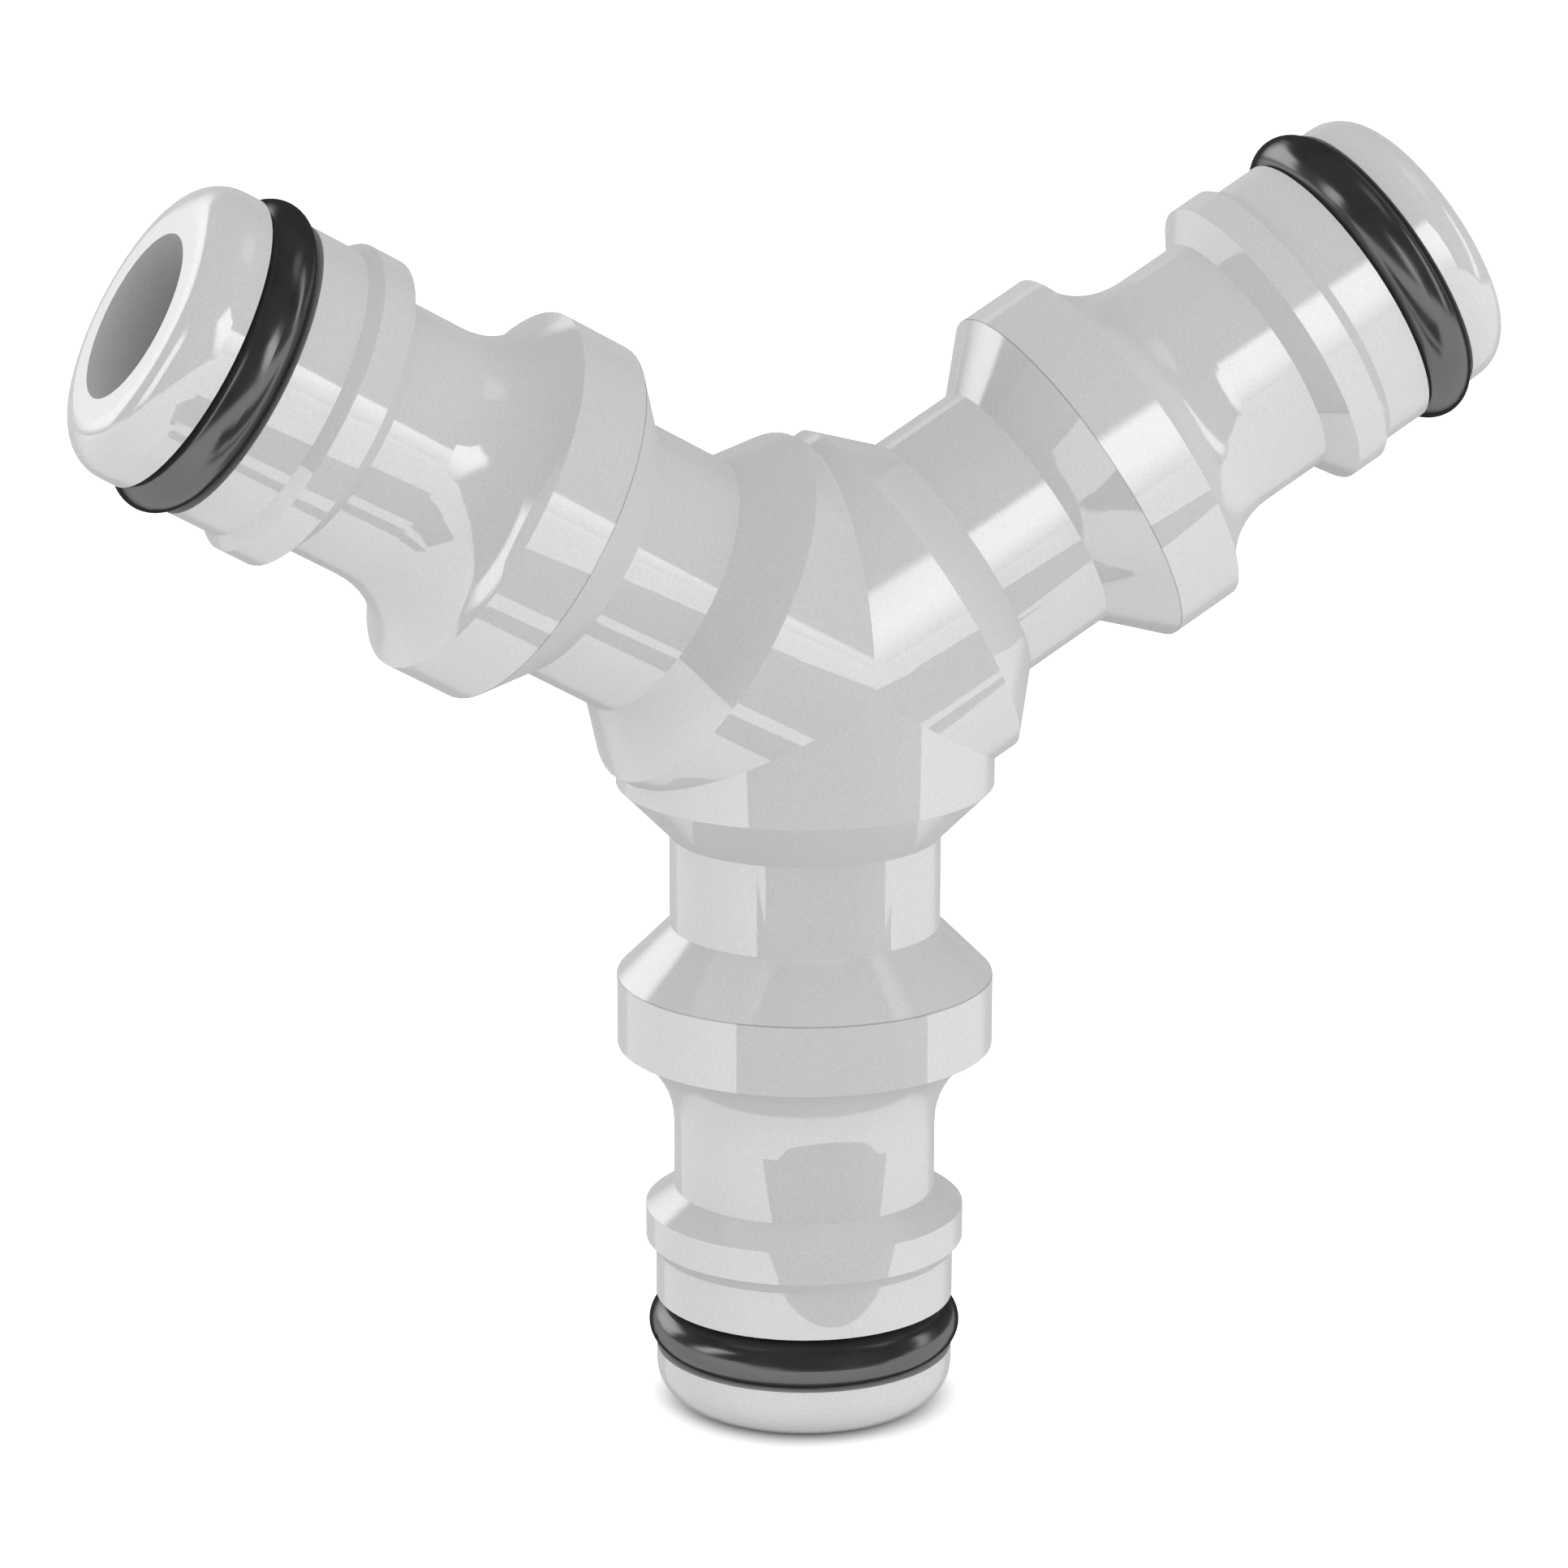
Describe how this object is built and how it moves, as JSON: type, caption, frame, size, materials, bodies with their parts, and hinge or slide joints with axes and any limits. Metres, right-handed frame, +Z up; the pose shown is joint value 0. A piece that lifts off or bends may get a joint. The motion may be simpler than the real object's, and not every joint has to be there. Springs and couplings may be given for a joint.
{
  "type": "three-way hose connector",
  "caption": "Y-shaped push-fit hose connector: a moulded hub with equal hollow spigots at 120 degrees, each sealed by an O-ring behind its rounded nose.",
  "frame": {"origin": "centre of the lower spigot's end face, on the surface that the part stands on", "axes": "+Z up along the lower spigot; all three arms lie in the XZ plane, and the upper two lean towards -X (left) and +X (right)"},
  "size_m": [0.076, 0.0196, 0.0663],
  "materials": {
    "plastic": "gloss",
    "seal_rubber": "satin"
  },
  "bodies": {
    "root": {"body": "plastic", "o_ring_bottom": "seal_rubber", "o_ring_left": "seal_rubber", "o_ring_right": "seal_rubber"}
  },
  "joints": []
}
